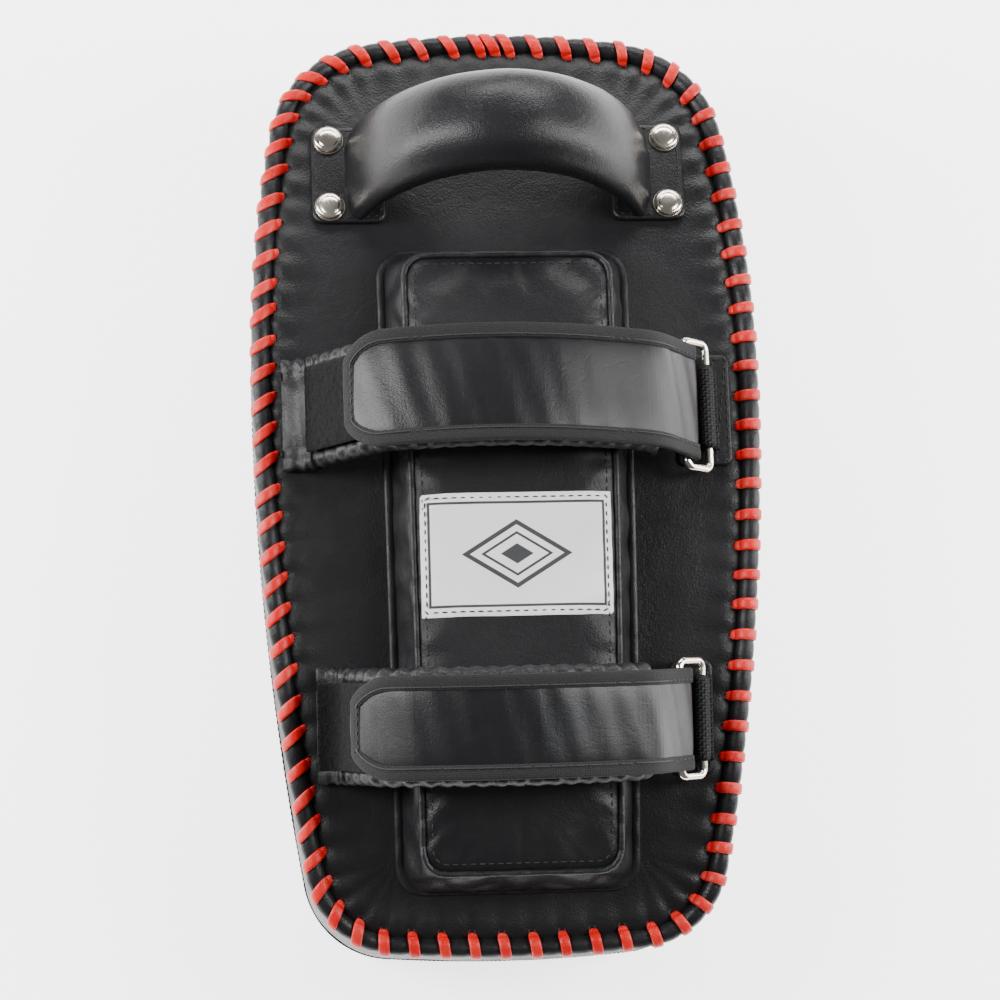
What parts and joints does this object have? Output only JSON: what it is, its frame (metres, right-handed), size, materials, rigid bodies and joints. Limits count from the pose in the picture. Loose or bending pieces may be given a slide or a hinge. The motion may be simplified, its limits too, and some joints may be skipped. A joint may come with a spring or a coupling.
{
  "type": "thai pad",
  "caption": "Curved rectangular kick pad with a laced edge, a grip handle, a forearm cushion and two padded arm straps that close with hook-and-loop flaps.",
  "frame": {"origin": "on the surface that the pad lies on, under the middle of its plan outline", "axes": "+Z out of the back, +Y towards the handle end, +X across the pad"},
  "size_m": [0.215, 0.3978, 0.1654],
  "materials": {
    "binding": "matte black woven binding",
    "board": "pressed fibre board",
    "foam": "closed-cell foam",
    "hook": "moulded hook tape",
    "label": "white woven patch",
    "lace": "flat red lace, slightly glossy",
    "leather": "smooth black leather with a soft sheen",
    "loop": "fuzzy loop tape",
    "nickel": "nickel-plated",
    "vinyl": "smooth coated black strap",
    "webbing": "woven webbing"
  },
  "bodies": {
    "pad": {"back_foam": "foam", "back_panel": "leather", "core_foam": "foam", "cushion_flange": "leather", "cushion_foam": "foam", "cushion_gusset": "leather", "cushion_panel": "leather", "cushion_welt": "leather", "edge_binding": "binding", "edge_lace": "lace", "face_foam": "foam", "face_welt": "leather", "handle_backing_board": "board", "handle_core": "foam", "handle_cover": "leather", "handle_tab_left": "leather", "handle_tab_right": "leather", "label_patch": "label", "lace_lock_stitch": "lace", "lower_closing_strap_tail": "vinyl", "lower_loop_tape": "loop", "lower_ring_anchor": "leather", "lower_ring_keeper": "webbing", "lower_strap_anchor": "leather", "lower_strap_cover": "leather", "lower_strap_edge_rolls": "leather", "lower_strap_foam": "foam", "rim_washers": "nickel", "rivet_burrs": "nickel", "rivet_caps": "nickel", "rivet_posts": "nickel", "side_wall": "leather", "striking_face": "leather", "upper_closing_strap_tail": "vinyl", "upper_loop_tape": "loop", "upper_ring_anchor": "leather", "upper_ring_keeper": "webbing", "upper_strap_anchor": "leather", "upper_strap_cover": "leather", "upper_strap_edge_rolls": "leather", "upper_strap_foam": "foam"},
    "upper_ring_swing": {"upper_ring": "nickel", "upper_closing_strap_turn": "vinyl"},
    "upper_flap": {"upper_closing_flap": "vinyl", "upper_flap_binding": "binding", "upper_hook_tape": "hook"},
    "lower_ring_swing": {"lower_ring": "nickel", "lower_closing_strap_turn": "vinyl"},
    "lower_flap": {"lower_closing_flap": "vinyl", "lower_flap_binding": "binding", "lower_hook_tape": "hook"}
  },
  "joints": [
    {"name": "upper_ring_hinge", "type": "hinge", "parent": "pad", "child": "upper_ring_swing", "pos_m": [0.0831, 0.02722, 0.10776], "axis": [0, 0.9994, -0.0338], "range_deg": [0, 20]},
    {"name": "upper_flap_peel", "type": "hinge", "parent": "upper_ring_swing", "child": "upper_flap", "pos_m": [0.0726, 0.02752, 0.11675], "axis": [0, 0.9994, -0.0338], "range_deg": [0, 110]},
    {"name": "lower_ring_hinge", "type": "hinge", "parent": "pad", "child": "lower_ring_swing", "pos_m": [0.0768, -0.10182, 0.10176], "axis": [0, 0.992, 0.1262], "range_deg": [0, 20]},
    {"name": "lower_flap_peel", "type": "hinge", "parent": "lower_ring_swing", "child": "lower_flap", "pos_m": [0.0663, -0.10296, 0.11069], "axis": [0, 0.992, 0.1262], "range_deg": [0, 110]}
  ]
}
